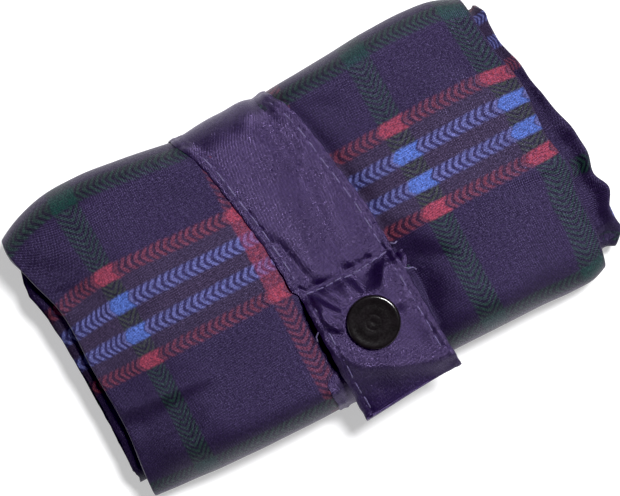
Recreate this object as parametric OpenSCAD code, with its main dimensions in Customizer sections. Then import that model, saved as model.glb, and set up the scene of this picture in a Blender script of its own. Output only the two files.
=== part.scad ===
// Fold-away shopping bag, folded in thirds, rolled flat and held by a strap with a press stud.
// It lies on its back: +X runs along the roll, +Y towards the strap's shoulder, +Z out of the front.
// The origin is on the underside, below the middle of the outer wrap.

/* [Roll] */
// Length of the outer wrap, from its fold to the bag's side seam
wrap_l = 144; // [130:1:160]
// Width of the roll across both long edges
roll_w = 86; // [76:1:100]
// Radius of the roll's long edges, half of its thickness
edge_r = 10; // [10:0.5:12]
// How far the middle third stands out past the outer wrap at the +X end
ruffle_out = 7; // [2:0.5:10]
// Thickness of one ply of the bag's cloth
cloth_t = 0.2; // [0.1:0.05:0.25]
// Distance from one ply to the next in the roll
ply_step = 0.3; // [0.28:0.01:0.3]
// Depth of a side gusset, folded flat
gusset_d = 40; // [20:1:60]

/* [Handles] */
// Width of a carrying handle
handle_w = 24; // [16:1:34]
// Thickness of a carrying handle
handle_t = 0.8; // [0.4:0.1:0.9]
// Outside width of a handle's loop
handle_span = 104; // [80:1:130]

/* [Strap] */
// Width of the strap, measured along X
strap_w = 30; // [24:1:34]
// Thickness of the strap
strap_t = 0.45; // [0.3:0.05:0.5]
// Air between the roll and the strap
strap_gap = 0.5; // [0.5:0.05:0.7]
// How far the front run slants towards +X between the shoulder and the tab
strap_slant = 6.8; // [0:0.1:9]
// Length of the doubled tab, from cross seam to tip
tab_l = 38.6; // [36:0.2:40]

/* [Press stud] */
// Diameter of the cap
cap_d = 15; // [12:0.5:16]
// Height of the cap
cap_h = 1.5; // [1.2:0.1:2]
// Outside diameter of the socket
socket_d = 11.6; // [11:0.1:12.5]
// Diameter of the stud's head
stud_head_d = 4.2; // [4:0.1:4.4]

/* [Stitching] */
// Distance from one stitch to the next
stitch_pitch = 4.9; // [4:0.1:7]
// Width of the sewing thread
thread_w = 0.35; // [0.25:0.05:0.5]
// Height of the sewing thread
thread_h = 0.2; // [0.1:0.05:0.25]
// Distance of a stitch row from the strap's edge
stitch_inset = 2.3; // [1.5:0.1:4]

/* [Hidden] */

// ---- Roll: a flat two-centre spiral of ten plies ----
// Straight steps in each half turn of the roll
arc_steps = 12;
// Distance of the two lines of arc centres from the middle
centre_y = roll_w / 2 - edge_r;
// Height of the roll's middle plane
mid_z = edge_r + strap_gap + strap_t;
// Plies in the folded strip, and the rise of the spiral in one turn
plies = 10;
turn_step = plies * ply_step;
// The last half turn, counted from zero at the outside
last_arc = 4;
// Where the strip ends: its outer edge on the back, and its inner edge in the core
free_edge_y = 24;
core_edge_y = 25;
// Thickness of a fold at the ends of the roll, and the clearance of a ply inside it
fold_t = 0.3;
fold_gap = 0.2;

// Slots of the plies, counted inwards: outer third, middle third, inner third
outer_back = 0;
outer_front = 3;
middle_front = 4;
middle_back = 5;
inner_back = 6;
inner_front = 9;

// X limits of the three thirds
wrap_lo = -wrap_l / 2;
wrap_hi = wrap_l / 2;
ruffle_hi = wrap_hi + ruffle_out;
inner_lo = wrap_lo - 1;

function reversed(list) = [for (i = [len(list) - 1 : -1 : 0]) list[i]];

// Points of one arc in the YZ plane
function arc(y, z, r, from, to) =
    [for (i = [0 : arc_steps])
        let (a = from + (to - from) * i / arc_steps)
        [y + r * cos(a), z + r * sin(a)]];

// Half turn number k of the spiral, moved inwards by depth
function half_turn(k, depth) =
    k % 2 == 0
    ? arc(-centre_y, mid_z, edge_r - k * turn_step / 2 - depth, 270, 90)
    : arc(centre_y, mid_z + turn_step / 2, edge_r - k * turn_step / 2 - depth, 90, -90);

// The whole spiral line at one depth
function spiral(depth) = concat(
    [[free_edge_y, mid_z - edge_r + depth]],
    [for (k = [0 : last_arc]) each half_turn(k, depth)],
    [[core_edge_y, mid_z + edge_r - last_arc * turn_step / 2 - depth]]
);

// Extrudes a YZ outline along X
module along_x(from, to) {
    translate([from, 0, 0])
        rotate([90, 0, 90])
            linear_extrude(height = to - from)
                children();
}

// The band of the roll that lies between two depths
module wound(from_x, to_x, outer_depth, inner_depth) {
    along_x(from_x, to_x)
        polygon(concat(spiral(outer_depth), reversed(spiral(inner_depth))));
}

// One ply in its slot
module ply(slot, from_x, to_x) {
    wound(from_x, to_x, slot * ply_step, slot * ply_step + cloth_t);
}

// The fold that joins the plies of two slots at one end, on the side given by out
module ply_fold(slot_a, slot_b, x, out) {
    wound(min(x, x + out * fold_t), max(x, x + out * fold_t),
        slot_a * ply_step, slot_b * ply_step + cloth_t);
}

module back_panel() {
    color("darkslateblue") {
        ply(outer_back, wrap_lo + fold_t, wrap_hi);
        ply_fold(outer_back, middle_back, wrap_lo + fold_t, -1);
        ply(middle_back, wrap_lo + fold_t, ruffle_hi - 2 * fold_t - fold_gap);
        ply_fold(middle_back, inner_back, ruffle_hi - 2 * fold_t - fold_gap, 1);
        ply(inner_back, inner_lo, ruffle_hi - 2 * fold_t - fold_gap);
    }
}

module front_panel() {
    fold_x = wrap_lo + 2 * fold_t + fold_gap;
    color("midnightblue") {
        ply(outer_front, fold_x, wrap_hi);
        ply_fold(outer_front, middle_front, fold_x, -1);
        ply(middle_front, fold_x, ruffle_hi - fold_t);
        ply_fold(middle_front, inner_front, ruffle_hi - fold_t, 1);
        ply(inner_front, inner_lo, ruffle_hi - fold_t);
    }
}

// A gusset is folded in between the two panels: two plies and their fold
module gusset(slot, edge_x, inward) {
    fold_x = edge_x + inward * gusset_d;
    ply(slot, min(edge_x, fold_x), max(edge_x, fold_x));
    ply_fold(slot, slot + 1, fold_x, inward);
    ply(slot + 1, min(edge_x, fold_x), max(edge_x, fold_x));
}

module gusset_right() {
    color("slateblue") gusset(outer_back + 1, wrap_hi, -1);
}

module gusset_left() {
    color("slateblue") gusset(inner_back + 1, inner_lo, 1);
}

// ---- Handles, folded flat in the core ----
// Lowest and highest Y of the loops, and the air on either side of the roll's middle plane
handle_lo = -30;
handle_hi = 22;
handle_air = 0.1;

module handle(z) {
    translate([-handle_span / 2, handle_lo, z])
        difference() {
            cube([handle_span, handle_hi - handle_lo, handle_t]);
            translate([handle_w, handle_w, -past])
                cube([handle_span - 2 * handle_w, handle_hi - handle_lo, handle_t + 2 * past]);
        }
}

module handle_front() {
    color("indigo") handle(mid_z + handle_air);
}

module handle_back() {
    color("indigo") handle(mid_z - handle_air - handle_t);
}

// ---- Strap and tail: bands round the roll, cut to their outline seen from the front ----
strap_in = edge_r + strap_gap;
strap_out = strap_in + strap_t;
edge_y = centre_y + strap_out;
front_z = mid_z + strap_out;
joint_gap = 0.1;

// Where the strap's middle line lies in X
shoulder_x = -5;
shoulder_turn_x = -0.8;
seam_x = shoulder_turn_x + strap_slant;
anchor_x = -6;
tab_x = seam_x + 1.2;
tail_x = 2.6;

// Where the strap and tail stop in Y
seam_y = -11;
anchor_lo = 11;
anchor_hi = free_edge_y - 1;
tail_end_y = -16.5;

// How far a cutting shape runs past what it cuts
past = 10;

// An upright prism over an outline seen from the front
module plan(outline) {
    translate([0, 0, -past])
        linear_extrude(height = cap_z + 2 * past)
            polygon(outline);
}

// The outline of a strap of full width along a line of [x, y] points
function strip(line) = concat(
    [for (p = line) [p[0] - strap_w / 2, p[1]]],
    reversed([for (p = line) [p[0] + strap_w / 2, p[1]]])
);

// Widest X that any strap piece reaches
reach_x = 60;

strap_front_line = [[shoulder_x, edge_y + 1], [shoulder_turn_x, centre_y], [seam_x, seam_y]];
strap_back_line = [[shoulder_x, edge_y + 1], [anchor_x, anchor_lo]];
tail_back_line = [[anchor_x, anchor_hi], [tail_x, -centre_y], [tail_x, -edge_y - 1]];
tail_front_line = [[tail_x, -edge_y - 1], [tail_x, tail_end_y]];

// Long strap, from the shoulder's outermost line over the front to the cross seam
module strap_front() {
    band_start = atan(joint_gap / strap_out);
    color("mediumpurple")
        intersection() {
            along_x(-reach_x, reach_x)
                polygon(concat(
                    arc(centre_y, mid_z, strap_out, band_start, 90),
                    [[seam_y, front_z], [seam_y, front_z - strap_t]],
                    reversed(arc(centre_y, mid_z, strap_in, band_start, 90))
                ));
            plan(strip(strap_front_line));
        }
}

// Long strap, from its anchor on the back up to the shoulder's outermost line
module strap_back() {
    color("rebeccapurple")
        difference() {
            intersection() {
                along_x(-reach_x, reach_x)
                    polygon(concat(
                        [[anchor_lo, strap_t], [anchor_lo, 0]],
                        arc(centre_y, mid_z, strap_out, -90, 0),
                        reversed(arc(centre_y, mid_z, strap_in, -90, 0))
                    ));
                plan(strip(strap_back_line));
            }
            strap_back_rows(stitch_slack);
            anchor_rows(stitch_slack);
        }
}

// Height of the tail's end where it lies between the strap and the roll, and where it comes down
tail_rise = strap_t + (strap_gap - strap_t) / 2;
ramp_hi = anchor_lo - 2;
ramp_lo = anchor_lo - 6;

// Tail, from the anchor on the back down to the lower edge's outermost line
module tail_back() {
    color("rebeccapurple")
        difference() {
            intersection() {
                along_x(-reach_x, reach_x)
                    polygon(concat(
                        [
                            [anchor_hi, tail_rise + strap_t], [anchor_hi, tail_rise],
                            [ramp_hi, tail_rise], [ramp_lo, 0]
                        ],
                        arc(-centre_y, mid_z, strap_out, 270, 180),
                        reversed(arc(-centre_y, mid_z, strap_in, 270, 180)),
                        [[ramp_lo, strap_t], [ramp_hi, tail_rise + strap_t]]
                    ));
                plan(strip(tail_back_line));
            }
            tail_back_rows(stitch_slack);
        }
}

// Air between two plies of a doubled end
double_gap = 0.1;

// Tail, from the lower edge's outermost line to its doubled end under the tab
module tail_front() {
    band_start = 180 - atan(joint_gap / strap_out);
    ply_z = front_z + double_gap;
    color("mediumpurple")
        difference() {
            intersection() {
                along_x(-reach_x, reach_x)
                    polygon(concat(
                        arc(-centre_y, mid_z, strap_out, band_start, 90),
                        [
                            [tail_end_y - strap_t, front_z], [tail_end_y - strap_t, ply_z],
                            [-centre_y, ply_z], [-centre_y, ply_z + strap_t],
                            [tail_end_y, ply_z + strap_t], [tail_end_y, front_z - strap_t]
                        ],
                        reversed(arc(-centre_y, mid_z, strap_in, band_start, 90))
                    ));
                plan(strip(tail_front_line));
            }
            translate([snap_x, snap_y, 0])
                cylinder(r = rivet_r + hole_slack, h = front_z + past, $fn = 32);
        }
}

// ---- Press stud ----
// Its axis, seen from the front
snap_x = 7.1;
snap_y = -27.1;
// Rivet and stud, fastened through the tail
rivet_r = 1.2;
rivet_disc_r = 5;
flange_r = 5;
neck_r = 1.7;
head_r = stud_head_d / 2;
disc_t = 0.4;
// Socket and its spring, and the cap's post that holds them under the tab
bore_r = head_r + 0.5;
groove_r = 4.6;
wire_r = 0.25;
post_r = 1.4;
socket_h = 1.8;
socket_roof = 0.4;
// Clearances: of a hole in the cloth, of metal on metal, and of the wire
hole_slack = 0.05;
fit_slack = 0.02;
wire_air = 0.05;

// Heights of the stack, from the roll upwards
rivet_z = mid_z + edge_r + double_gap;
stud_z = front_z + double_gap + strap_t;
socket_z = stud_z + disc_t + double_gap;
tab_z = socket_z + socket_h;
cap_z = tab_z + 2 * strap_t + double_gap;
wire_z = stud_z + disc_t + 0.55;
head_z = wire_z + 0.3;
head_top = head_z + 0.55;

// ---- Tab: doubled, raised over the stud and drooping past the lower edge ----
tab_flat_hi = -19;
tab_flat_lo = -35;
tab_tip_y = seam_y - tab_l;
tab_tip_drop = 2.55;
tab_line = [
    [seam_y - joint_gap, front_z], [tab_flat_hi, cap_z],
    [tab_flat_lo, cap_z], [tab_tip_y, cap_z - tab_tip_drop]
];
// Where the folded-back end stops, as a share of the rising part, just below the cross seam
tab_fold_start = 0.19;
cross_row_at = 0.16;

function lowered(line, by) = [for (p = line) [p[0], p[1] - by]];
function between(a, b, t) = a + (b - a) * t;

module strap_tab() {
    inner_start = between(tab_line[0], tab_line[1], tab_fold_start);
    inner_tip = tab_line[3] + [strap_t, 0];
    inner_line = [inner_start, tab_line[1], tab_line[2], inner_tip];
    lower_line = [inner_start, tab_line[1], tab_line[2], tab_line[3]];
    upper_line = [tab_line[0], tab_line[1], tab_line[2], inner_tip];
    color("mediumpurple")
        difference() {
            intersection() {
                along_x(-reach_x, reach_x)
                    polygon(concat(
                        tab_line,
                        reversed(lowered(lower_line, 2 * strap_t + double_gap)),
                        lowered(inner_line, strap_t + double_gap),
                        reversed(lowered(upper_line, strap_t))
                    ));
                plan([
                    [tab_x - strap_w / 2, seam_y], [tab_x + strap_w / 2, seam_y],
                    [tab_x + strap_w / 2, tab_tip_y - past], [tab_x - strap_w / 2, tab_tip_y - past]
                ]);
            }
            translate([snap_x, snap_y, 0])
                cylinder(r = post_r + hole_slack, h = front_z + past, $fn = 32);
        }
}

// Cap: a shallow disc with a rolled rim, a dished face, a ring and a centre dimple, on its post
module snap_cap() {
    r = cap_d / 2;
    rim_r = 0.6;
    rim = [for (a = [0 : 15 : 90]) [r - rim_r + rim_r * cos(a), cap_h - rim_r + rim_r * sin(a)]];
    underside_bevel = 0.35;
    post_z = tab_z - socket_roof - cap_z;
    face_z = cap_h - 0.14;
    ring_r = 2.35;
    ring_half_w = 0.25;
    ring_z = face_z - 0.08;
    dimple_r = 0.8;
    dimple_z = face_z - 0.2;
    color("dimgray")
        translate([snap_x, snap_y, cap_z])
            rotate_extrude($fn = 64)
                polygon(concat(
                    [
                        [0, post_z], [post_r, post_z], [post_r, 0],
                        [r - underside_bevel, 0], [r, underside_bevel]
                    ],
                    rim,
                    [
                        [r - 4 * rim_r, face_z], [ring_r + ring_half_w, face_z], [ring_r, ring_z],
                        [ring_r - ring_half_w, face_z], [dimple_r, face_z],
                        [dimple_r / 2, dimple_z], [0, dimple_z]
                    ]
                ));
}

// Socket: a round box whose bore takes the stud's head, with a groove for the spring
module snap_socket() {
    groove_lo = wire_z - wire_r - wire_air - socket_z;
    groove_hi = wire_z + wire_r + wire_air - socket_z;
    roof = socket_h - socket_roof;
    bevel = 0.3;
    r = socket_d / 2;
    hole_r = post_r + fit_slack;
    color("darkgray")
        translate([snap_x, snap_y, socket_z])
            rotate_extrude($fn = 64)
                polygon([
                    [bore_r, 0], [r - bevel, 0], [r, bevel], [r, socket_h],
                    [hole_r, socket_h], [hole_r, roof], [bore_r, roof],
                    [bore_r, groove_hi], [groove_r, groove_hi], [groove_r, groove_lo], [bore_r, groove_lo]
                ]);
}

// Spring: a hairpin of wire whose two legs close behind the stud's head
module socket_spring() {
    leg_y = neck_r + wire_r + wire_air;
    leg_lo = -3.7;
    leg_hi = 2.1;
    color("silver")
        translate([snap_x, snap_y, wire_z]) {
            for (side = [-1, 1])
                translate([leg_lo, side * leg_y, 0])
                    rotate([0, 90, 0])
                        cylinder(r = wire_r, h = leg_hi - leg_lo, $fn = 24);
            translate([leg_hi, 0, 0])
                rotate([0, 0, -90])
                    rotate_extrude(angle = 180, $fn = 48)
                        translate([leg_y, 0])
                            circle(r = wire_r, $fn = 24);
        }
}

// Stud: flange, neck and bulging head, bored for the rivet
module snap_stud() {
    neck_z = wire_z + wire_r + wire_air - stud_z;
    head_lo = head_z - stud_z + 0.15;
    head_hi = head_top - stud_z;
    flange_bevel = 0.1;
    head_bevel = 0.3;
    head_band = 0.1;
    hole_r = rivet_r + fit_slack;
    color("darkgray")
        translate([snap_x, snap_y, stud_z])
            rotate_extrude($fn = 64)
                polygon([
                    [hole_r, 0], [flange_r, 0], [flange_r, disc_t - flange_bevel],
                    [flange_r - flange_bevel, disc_t], [neck_r, disc_t], [neck_r, neck_z],
                    [head_r, head_lo], [head_r, head_lo + head_band],
                    [head_r - head_bevel, head_hi], [hole_r, head_hi]
                ]);
}

// Rivet: a disc under the tail whose shank goes up through the stud
module stud_rivet() {
    color("gray")
        translate([snap_x, snap_y, rivet_z]) {
            cylinder(r = rivet_disc_r, h = front_z - strap_t - rivet_z, $fn = 48);
            cylinder(r = rivet_r, h = head_top - 0.1 - rivet_z, $fn = 32);
        }
}

// ---- Stitching ----
// Clearance of the slot that a sunk stitch lies in
stitch_slack = 0.03;
stitch_l = stitch_pitch * 0.82;

// One stitch from a to b, seen from the outside, with its inner side on the line
module stitch(a, b, slack = 0) {
    d = b - a;
    level = norm([d[0], d[1]]);
    below = slack > 0 ? past : 0;
    translate(a)
        rotate([0, -atan2(d[2], level), atan2(d[1], d[0])])
            translate([-slack, -thread_w / 2 - slack, -below])
                cube([norm(d) + 2 * slack, thread_w + 2 * slack, thread_h + slack + below]);
}

// X of a line of [x, y] points at one Y
function line_x(line, y) =
    let (hit = [for (i = [0 : len(line) - 2])
        if ((line[i][1] - y) * (line[i + 1][1] - y) <= 0) i])
    let (i = hit[0], t = (y - line[i][1]) / (line[i + 1][1] - line[i][1]))
    between(line[i][0], line[i + 1][0], t);

// A [y, z] point of the strap's outer surface, raised by lift: s is measured from the top of a
// long edge's arc, along the flat when positive and round the arc when negative
function edge_point(s, side, face, lift) =
    s >= 0
    ? [side * (centre_y - s), mid_z + face * (strap_out + lift)]
    : let (a = -s / strap_out * 180 / PI, r = strap_out + lift)
        [side * (centre_y + r * sin(a)), mid_z + face * r * cos(a)];

function on_strip(line, offset, p) = [line_x(line, p[0]) + offset, p[0], p[1]];

// A straight stitch on the arc touches it in its middle, so its ends stand this far off
bow = 0.01 + strap_out * (1 - cos(stitch_l / strap_out * 90 / PI));

// A row of stitches along a strip, between two distances s
module edge_row(line, offset, side, face, from, to, slack = 0) {
    count = floor((to - from) / stitch_pitch);
    for (i = [0 : count - 1]) {
        s = from + i * stitch_pitch;
        lift = s < 0 ? bow : 0;
        a = on_strip(line, offset, edge_point(s + stitch_l, side, face, lift));
        b = on_strip(line, offset, edge_point(s, side, face, lift));
        if (face > 0) stitch(a, b, slack);
        else stitch(b, a, slack);
    }
}

row_offset = strap_w / 2 - stitch_inset;
quarter = strap_out * PI / 2;

module front_stitch_left() {
    color("plum") edge_row(strap_front_line, -row_offset, 1, 1, -quarter + 2, centre_y - seam_y);
}

module front_stitch_right() {
    color("plum") edge_row(strap_front_line, row_offset, 1, 1, -quarter + 2, centre_y - seam_y);
}

module tail_stitch_left() {
    color("plum") edge_row(tail_front_line, -row_offset, -1, 1, -quarter + 2, -1);
}

module tail_stitch_right() {
    color("plum") edge_row(tail_front_line, row_offset, -1, 1, -quarter + 2, -1);
}

module strap_back_rows(slack = 0) {
    for (offset = [-row_offset, row_offset])
        edge_row(strap_back_line, offset, 1, -1, 1, centre_y - anchor_lo - 1, slack);
}

module tail_back_rows(slack = 0) {
    for (offset = [-row_offset, row_offset])
        edge_row(tail_back_line, offset, -1, -1, 1, centre_y + anchor_lo - 8, slack);
}

module strap_back_stitch() {
    color("plum") {
        strap_back_rows();
        tail_back_rows();
    }
}

// Box stitching through strap, tail and roll, sunk in the strap's underside
anchor_box = [[-9, 13], [9, 13], [9, 21], [-9, 21]];

module anchor_rows(slack = 0) {
    for (i = [0 : 3]) {
        a = anchor_box[i];
        b = anchor_box[(i + 1) % 4];
        count = round(norm(b - a) / stitch_pitch);
        for (k = [0 : count - 1]) {
            p = between(a, b, (k + 0.1) / count);
            q = between(a, b, (k + 0.9) / count);
            stitch([anchor_x + p[0], p[1], 0], [anchor_x + q[0], q[1], 0], slack);
        }
    }
}

module anchor_stitch() {
    color("plum") anchor_rows();
}

// Stitches on the tab follow its raised line
module tab_row(offset) {
    for (i = [0 : 2]) {
        a = tab_line[i];
        b = tab_line[i + 1];
        count = max(1, round(norm(b - a) / stitch_pitch));
        for (k = [0 : count - 1]) {
            p = between(a, b, (k + 0.12) / count);
            q = between(a, b, (k + 0.88) / count);
            stitch([tab_x + offset, q[0], q[1]], [tab_x + offset, p[0], p[1]]);
        }
    }
}

module tab_stitch_left() {
    color("plum") tab_row(-row_offset);
}

module tab_stitch_right() {
    color("plum") tab_row(row_offset);
}

// The cross row that holds the folded-back end, along X on the tab's rising part
module cross_stitch() {
    at = between(tab_line[0], tab_line[1], cross_row_at);
    slope = atan2(tab_line[1][1] - tab_line[0][1], tab_line[0][0] - tab_line[1][0]);
    count = floor((strap_w - 2 * stitch_inset - 3) / stitch_pitch);
    color("plum")
        translate([tab_x - count * stitch_pitch / 2, at[0], at[1]])
            rotate([-slope, 0, 0])
                for (i = [0 : count - 1])
                    translate([i * stitch_pitch + (stitch_pitch - stitch_l) / 2, -thread_w / 2, 0])
                        cube([stitch_l, thread_w, thread_h]);
}

// Bottom seam of the bag, beside the strap on the back of the roll
module bottom_seam() {
    seam_row_y = free_edge_y - 5;
    count = floor((wrap_l - 4) / stitch_pitch);
    color("plum")
        for (i = [0 : count - 1]) {
            x = wrap_lo + 2 + i * stitch_pitch;
            if (x > anchor_x + strap_w / 2 + 2 || x + stitch_l < anchor_x - strap_w / 2 - 2)
                translate([x, seam_row_y, mid_z - edge_r - thread_h])
                    cube([stitch_l, thread_w, thread_h]);
        }
}

back_panel();
front_panel();
gusset_left();
gusset_right();
handle_front();
handle_back();
bottom_seam();
strap_back();
strap_front();
strap_tab();
tail_back();
tail_front();
anchor_stitch();
strap_back_stitch();
front_stitch_left();
front_stitch_right();
tab_stitch_left();
tab_stitch_right();
cross_stitch();
tail_stitch_left();
tail_stitch_right();
snap_cap();
snap_socket();
socket_spring();
snap_stud();
stud_rivet();
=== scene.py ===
# A fold-away tartan shopping bag, folded in thirds, rolled flat and held by a strap with a press stud.
# Everything is worked out in millimetres in the row's frame and scaled to metres as each mesh is made.
import math

import bpy
import numpy as np
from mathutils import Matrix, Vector, noise


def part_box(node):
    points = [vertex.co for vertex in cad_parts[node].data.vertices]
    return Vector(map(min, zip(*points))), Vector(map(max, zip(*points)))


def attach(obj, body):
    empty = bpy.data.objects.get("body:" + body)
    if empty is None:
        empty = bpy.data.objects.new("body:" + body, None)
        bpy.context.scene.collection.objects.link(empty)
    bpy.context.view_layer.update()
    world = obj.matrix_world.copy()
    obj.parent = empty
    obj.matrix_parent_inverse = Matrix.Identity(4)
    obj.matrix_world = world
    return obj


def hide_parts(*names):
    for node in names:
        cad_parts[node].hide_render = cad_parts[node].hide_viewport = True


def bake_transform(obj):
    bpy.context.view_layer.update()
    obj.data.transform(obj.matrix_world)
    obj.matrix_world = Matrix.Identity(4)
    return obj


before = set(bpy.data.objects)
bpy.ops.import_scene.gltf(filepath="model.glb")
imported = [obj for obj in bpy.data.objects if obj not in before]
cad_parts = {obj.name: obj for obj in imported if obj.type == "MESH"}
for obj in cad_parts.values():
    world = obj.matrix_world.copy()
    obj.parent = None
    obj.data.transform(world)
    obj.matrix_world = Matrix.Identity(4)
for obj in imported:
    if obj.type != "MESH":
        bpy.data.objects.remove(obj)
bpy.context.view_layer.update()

MM = 0.001


# ---------------------------------------------------------------- frame

def cad(node):
    """Lowest and highest corner of a CAD node, in millimetres."""
    lo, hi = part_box(node)
    return np.array(lo) / MM, np.array(hi) / MM


back_lo, back_hi = cad("back_panel")
cap_lo, cap_hi = cad("snap_cap")
tab_lo, tab_hi = cad("strap_tab")
stud_lo = cad("stud_rivet")[0]

EDGE_R = (back_hi[2] - back_lo[2]) / 2
MID_Z = (back_hi[2] + back_lo[2]) / 2
CENTRE_Y = -back_lo[1] - EDGE_R
WRAP_HI = cad("gusset_right")[1][0]
WRAP_LO = -WRAP_HI
RUFFLE_HI = cad("front_panel")[1][0]
INNER_LO = back_lo[0]
SNAP = (cap_lo[:2] + cap_hi[:2]) / 2
CAP_R = (cap_hi[0] - cap_lo[0]) / 2

# The roll is a flat spiral: ten plies to a turn
PLY = 0.3
TURN = 10 * PLY
FREE_EDGE_Y = 24.0
CORE_EDGE_Y = 25.0
GUSSET_D = 40.0
CLOTH_T = 0.14

STRAP_W = 30.0
STRAP_T = 0.5
SEAM_Y = -11.0
STITCH_PITCH = 4.9
STITCH_INSET = 2.3


# ---------------------------------------------------------------- small helpers

def smooth(lo, hi, x):
    """0 below lo, 1 above hi, and an S curve between."""
    t = np.clip((np.asarray(x, float) - lo) / (hi - lo), 0, 1)
    return t * t * (3 - 2 * t)


def curve_through(knots, x):
    """A smooth curve through a few (x, y) knots."""
    kx, ky = np.array(knots, float).T
    slope = np.gradient(ky, kx)
    x = np.clip(np.asarray(x, float), kx[0], kx[-1])
    i = np.clip(np.searchsorted(kx, x) - 1, 0, len(kx) - 2)
    h = kx[i + 1] - kx[i]
    t = (x - kx[i]) / h
    return (
        (2 * t**3 - 3 * t**2 + 1) * ky[i]
        + (t**3 - 2 * t**2 + t) * h * slope[i]
        + (3 * t**2 - 2 * t**3) * ky[i + 1]
        + (t**3 - t**2) * h * slope[i + 1]
    )


def arc(y, z, r, a0, a1, steps=12):
    """Points on a circle between two angles, in degrees."""
    return [(y + r * math.cos(a), z + r * math.sin(a)) for a in np.radians(np.linspace(a0, a1, steps))]


def lengths(p):
    """Distance along a line at each of its points."""
    return np.concatenate([[0], np.cumsum(np.linalg.norm(np.diff(p, axis=0), axis=1))])


def normals(p):
    """Unit directions to the right of a line in a plane, at each of its points."""
    tangent = np.gradient(p, axis=0)
    tangent /= np.linalg.norm(tangent, axis=1)[:, None]
    return np.stack([tangent[:, 1], -tangent[:, 0]], axis=1)


def band_ring(across, height):
    """The closed section of a band, from its upper side: places across it, and heights."""
    return np.concatenate([across, across[-2:0:-1]]), np.concatenate([height, -height[-2:0:-1]])


def ripple(a, b, scale_a, scale_b, seed):
    """Smooth noise from -1 to 1 over two coordinates, each with its own wavelength."""
    a, b = np.broadcast_arrays(np.asarray(a, float), np.asarray(b, float))
    flat = [noise.noise(Vector((p / scale_a, q / scale_b, seed))) for p, q in zip(a.ravel(), b.ravel())]
    return np.array(flat).reshape(a.shape) * 1.6


def make_mesh(name, points, faces, uvs=None):
    """A smooth-shaded mesh object from points in millimetres, with one UV per face corner."""
    mesh = bpy.data.meshes.new(name)
    mesh.from_pydata((np.asarray(points) * MM).tolist(), [], faces)
    if uvs is not None:
        layer = mesh.uv_layers.new(name="cloth")
        layer.data.foreach_set("uv", (np.asarray(uvs, np.float32) * MM).ravel())
    mesh.polygons.foreach_set("use_smooth", [True] * len(mesh.polygons))
    mesh.update()
    obj = bpy.data.objects.new(name, mesh)
    bpy.context.collection.objects.link(obj)
    return obj


def grid(name, points, u, v, closed=False, capped=False):
    """A sheet over rows and columns of points. u and v give the flat cloth's place of each column line.
    A closed grid joins its last column to its first, and u and v then have one more column."""
    rows, cols = points.shape[:2]
    faces, uvs = [], []
    spans = cols if closed else cols - 1
    for r in range(rows - 1):
        for c in range(spans):
            d = (c + 1) % cols
            faces.append((r * cols + c, r * cols + d, (r + 1) * cols + d, (r + 1) * cols + c))
            for i, j in ((r, c), (r, c + 1), (r + 1, c + 1), (r + 1, c)):
                uvs.append((u[i, j], v[i, j]))
    if capped:
        for r in (0, rows - 1):
            ring = [r * cols + c for c in range(cols)]
            faces.append(ring[::-1] if r else ring)
            uvs += [(u[r, c], v[r, c]) for c in (range(cols)[::-1] if r else range(cols))]
    return make_mesh(name, points.reshape(-1, 3), faces, uvs)


def tube_faces(rings, sides):
    """Faces of a tube made of rings of points, closed at both ends."""
    faces = []
    for i in range(rings - 1):
        for j in range(sides):
            k = (j + 1) % sides
            faces.append((i * sides + j, i * sides + k, (i + 1) * sides + k, (i + 1) * sides + j))
    last = (rings - 1) * sides
    return faces + [tuple(range(sides))[::-1], tuple(range(last, last + sides))]


# ---------------------------------------------------------------- materials

class Graph:
    """A short way to write a material's nodes."""

    def __init__(self, name):
        self.material = bpy.data.materials.new(name)
        self.material.use_nodes = True
        self.tree = self.material.node_tree
        self.shader = self.tree.nodes["Principled BSDF"]

    def node(self, kind, **settings):
        n = self.tree.nodes.new(kind)
        for key, value in settings.items():
            setattr(n, key, value)
        return n

    def put(self, value, socket):
        if hasattr(value, "is_output"):
            self.tree.links.new(value, socket)
        else:
            socket.default_value = value

    def math(self, operation, *values, clamp=False):
        n = self.node("ShaderNodeMath", operation=operation, use_clamp=clamp)
        for value, socket in zip(values, n.inputs):
            self.put(value, socket)
        return n.outputs[0]

    def span(self, value, lo, hi, to_lo=0.0, to_hi=1.0):
        """value from lo..hi to to_lo..to_hi, on an S curve."""
        n = self.node("ShaderNodeMapRange", interpolation_type="SMOOTHSTEP")
        for socket, x in zip(n.inputs, (value, lo, hi, to_lo, to_hi)):
            self.put(x, socket)
        return n.outputs[0]

    def mix(self, factor, a, b):
        n = self.node("ShaderNodeMix", data_type="RGBA")
        self.put(factor, n.inputs["Factor"])
        self.put(a, n.inputs[6])
        self.put(b, n.inputs[7])
        return n.outputs[2]

    def noise(self, vector, scale, detail=2.0, rough=0.5):
        n = self.node("ShaderNodeTexNoise")
        self.put(vector, n.inputs["Vector"])
        n.inputs["Scale"].default_value = scale
        n.inputs["Detail"].default_value = detail
        n.inputs["Roughness"].default_value = rough
        return n.outputs["Fac"]

    def bump(self, height, strength, distance, normal=None):
        n = self.node("ShaderNodeBump")
        n.inputs["Strength"].default_value = strength
        n.inputs["Distance"].default_value = distance
        self.put(height, n.inputs["Height"])
        if normal is not None:
            self.put(normal, n.inputs["Normal"])
        return n.outputs[0]

    def set(self, **values):
        """Links or values for the shader's sockets."""
        for name, value in values.items():
            self.put(value, self.shader.inputs[name.replace("_", " ")])


def linear(r, g, b):
    """An sRGB colour, 0 to 255, as the shader wants it."""
    def one(c):
        c /= 255
        return c / 12.92 if c <= 0.04045 else ((c + 0.055) / 1.055) ** 2.4
    return (one(r), one(g), one(b), 1.0)


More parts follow.
